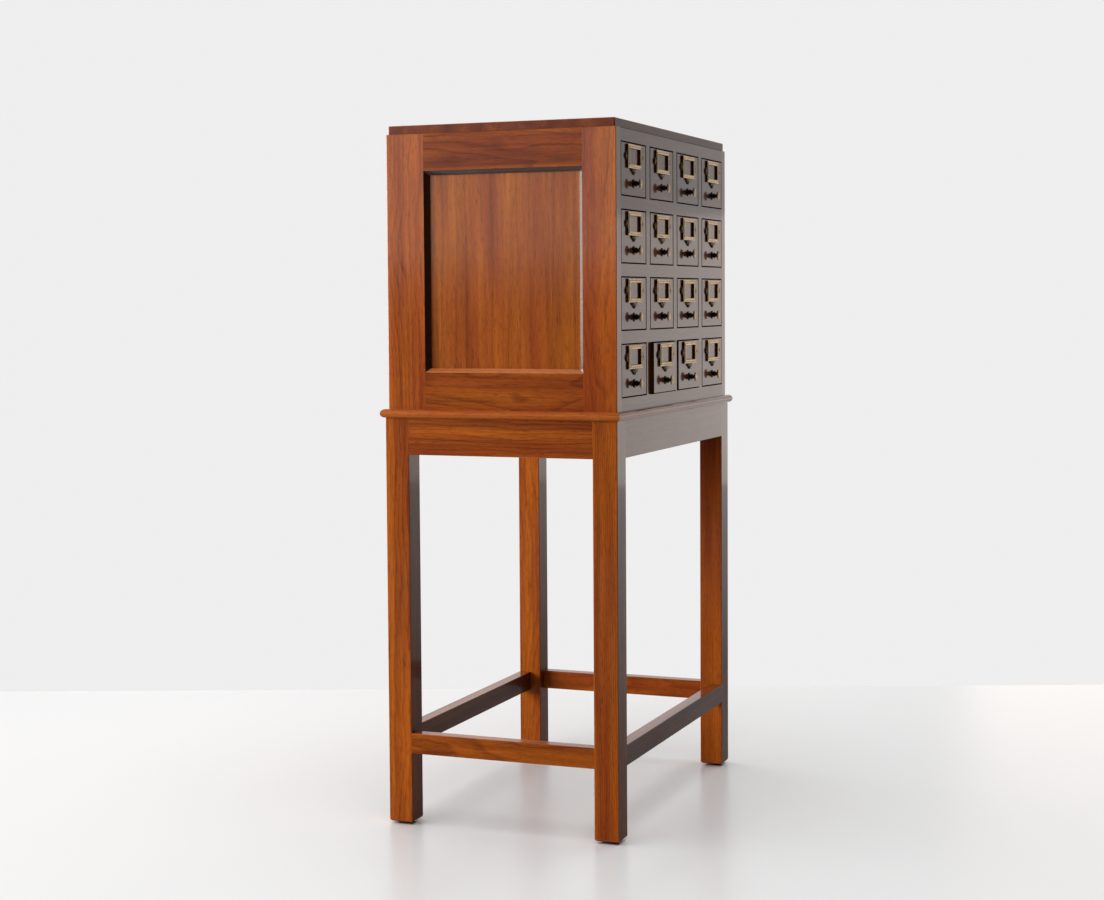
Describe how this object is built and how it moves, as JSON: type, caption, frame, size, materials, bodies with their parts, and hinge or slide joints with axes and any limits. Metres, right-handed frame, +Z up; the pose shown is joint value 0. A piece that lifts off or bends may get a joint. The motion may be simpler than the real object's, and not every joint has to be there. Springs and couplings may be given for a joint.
{
  "type": "apothecary drawer cabinet on stand",
  "caption": "Teak cabinet of small drawers with brass label frames and turned knobs, with frame-and-panel sides, on an open square-legged stand with stretchers.",
  "frame": {"origin": "on the floor, under the middle of the whole outline (the case's own middle is 5.15 mm behind it)", "axes": "+Z up; the drawers open towards -Y; +X is to the right of someone who faces the drawers"},
  "size_m": [0.706, 0.4824, 1.3],
  "materials": {
    "teak": "glossy lacquered teak, red-brown with fine dark grain",
    "panel_teak": "glossy lacquered teak, a little lighter and more orange",
    "plain_teak": "dry, unvarnished teak inside the case",
    "drawer_teak": "lacquered teak drawer front on a plain teak box",
    "brass": "polished brass, darkened in the corners",
    "glide_rubber": "matt dark rubber"
  },
  "bodies": {
    "cabinet": {"leg_front_left": "teak", "leg_front_right": "teak", "leg_rear_left": "teak", "leg_rear_right": "teak", "apron_front": "teak", "apron_rear": "teak", "apron_left": "teak", "apron_right": "teak", "stretcher_front": "teak", "stretcher_rear": "teak", "stretcher_left": "teak", "stretcher_right": "teak", "glides": "glide_rubber", "stand_moulding": "teak", "side_frame_left": "teak", "side_frame_right": "teak", "side_beads_left": "teak", "side_beads_right": "teak", "side_panel_left": "panel_teak", "side_panel_right": "panel_teak", "front_rails": "teak", "front_uprights": "teak", "shelves": "plain_teak", "drawer_guides": "plain_teak", "drawer_stops": "plain_teak", "back_frame": "teak", "back_sheet": "panel_teak", "top_board": "teak"},
    "drawer_r1c1": {"drawer_box_r1c1": "drawer_teak", "brass_fittings_r1c1": "brass"},
    "drawer_r1c2": {"drawer_box_r1c2": "drawer_teak", "brass_fittings_r1c2": "brass"},
    "drawer_r1c3": {"drawer_box_r1c3": "drawer_teak", "brass_fittings_r1c3": "brass"},
    "drawer_r1c4": {"drawer_box_r1c4": "drawer_teak", "brass_fittings_r1c4": "brass"},
    "drawer_r2c1": {"drawer_box_r2c1": "drawer_teak", "brass_fittings_r2c1": "brass"},
    "drawer_r2c2": {"drawer_box_r2c2": "drawer_teak", "brass_fittings_r2c2": "brass"},
    "drawer_r2c3": {"drawer_box_r2c3": "drawer_teak", "brass_fittings_r2c3": "brass"},
    "drawer_r2c4": {"drawer_box_r2c4": "drawer_teak", "brass_fittings_r2c4": "brass"},
    "drawer_r3c1": {"drawer_box_r3c1": "drawer_teak", "brass_fittings_r3c1": "brass"},
    "drawer_r3c2": {"drawer_box_r3c2": "drawer_teak", "brass_fittings_r3c2": "brass"},
    "drawer_r3c3": {"drawer_box_r3c3": "drawer_teak", "brass_fittings_r3c3": "brass"},
    "drawer_r3c4": {"drawer_box_r3c4": "drawer_teak", "brass_fittings_r3c4": "brass"},
    "drawer_r4c1": {"drawer_box_r4c1": "drawer_teak", "brass_fittings_r4c1": "brass"},
    "drawer_r4c2": {"drawer_box_r4c2": "drawer_teak", "brass_fittings_r4c2": "brass"},
    "drawer_r4c3": {"drawer_box_r4c3": "drawer_teak", "brass_fittings_r4c3": "brass"},
    "drawer_r4c4": {"drawer_box_r4c4": "drawer_teak", "brass_fittings_r4c4": "brass"}
  },
  "joints": [
    {"name": "drawer_r1c1_slide", "type": "slide", "parent": "cabinet", "child": "drawer_r1c1", "axis": [0, -1, 0], "range_m": [0, 0.3]},
    {"name": "drawer_r1c2_slide", "type": "slide", "parent": "cabinet", "child": "drawer_r1c2", "axis": [0, -1, 0], "range_m": [0, 0.3]},
    {"name": "drawer_r1c3_slide", "type": "slide", "parent": "cabinet", "child": "drawer_r1c3", "axis": [0, -1, 0], "range_m": [0, 0.3]},
    {"name": "drawer_r1c4_slide", "type": "slide", "parent": "cabinet", "child": "drawer_r1c4", "axis": [0, -1, 0], "range_m": [0, 0.3]},
    {"name": "drawer_r2c1_slide", "type": "slide", "parent": "cabinet", "child": "drawer_r2c1", "axis": [0, -1, 0], "range_m": [0, 0.3]},
    {"name": "drawer_r2c2_slide", "type": "slide", "parent": "cabinet", "child": "drawer_r2c2", "axis": [0, -1, 0], "range_m": [0, 0.3]},
    {"name": "drawer_r2c3_slide", "type": "slide", "parent": "cabinet", "child": "drawer_r2c3", "axis": [0, -1, 0], "range_m": [0, 0.3]},
    {"name": "drawer_r2c4_slide", "type": "slide", "parent": "cabinet", "child": "drawer_r2c4", "axis": [0, -1, 0], "range_m": [0, 0.3]},
    {"name": "drawer_r3c1_slide", "type": "slide", "parent": "cabinet", "child": "drawer_r3c1", "axis": [0, -1, 0], "range_m": [0, 0.3]},
    {"name": "drawer_r3c2_slide", "type": "slide", "parent": "cabinet", "child": "drawer_r3c2", "axis": [0, -1, 0], "range_m": [0, 0.3]},
    {"name": "drawer_r3c3_slide", "type": "slide", "parent": "cabinet", "child": "drawer_r3c3", "axis": [0, -1, 0], "range_m": [0, 0.3]},
    {"name": "drawer_r3c4_slide", "type": "slide", "parent": "cabinet", "child": "drawer_r3c4", "axis": [0, -1, 0], "range_m": [0, 0.3]},
    {"name": "drawer_r4c1_slide", "type": "slide", "parent": "cabinet", "child": "drawer_r4c1", "axis": [0, -1, 0], "range_m": [0, 0.3]},
    {"name": "drawer_r4c2_slide", "type": "slide", "parent": "cabinet", "child": "drawer_r4c2", "axis": [0, -1, 0], "range_m": [-0.006, 0.3]},
    {"name": "drawer_r4c3_slide", "type": "slide", "parent": "cabinet", "child": "drawer_r4c3", "axis": [0, -1, 0], "range_m": [-0.002, 0.3]},
    {"name": "drawer_r4c4_slide", "type": "slide", "parent": "cabinet", "child": "drawer_r4c4", "axis": [0, -1, 0], "range_m": [0, 0.3]}
  ]
}
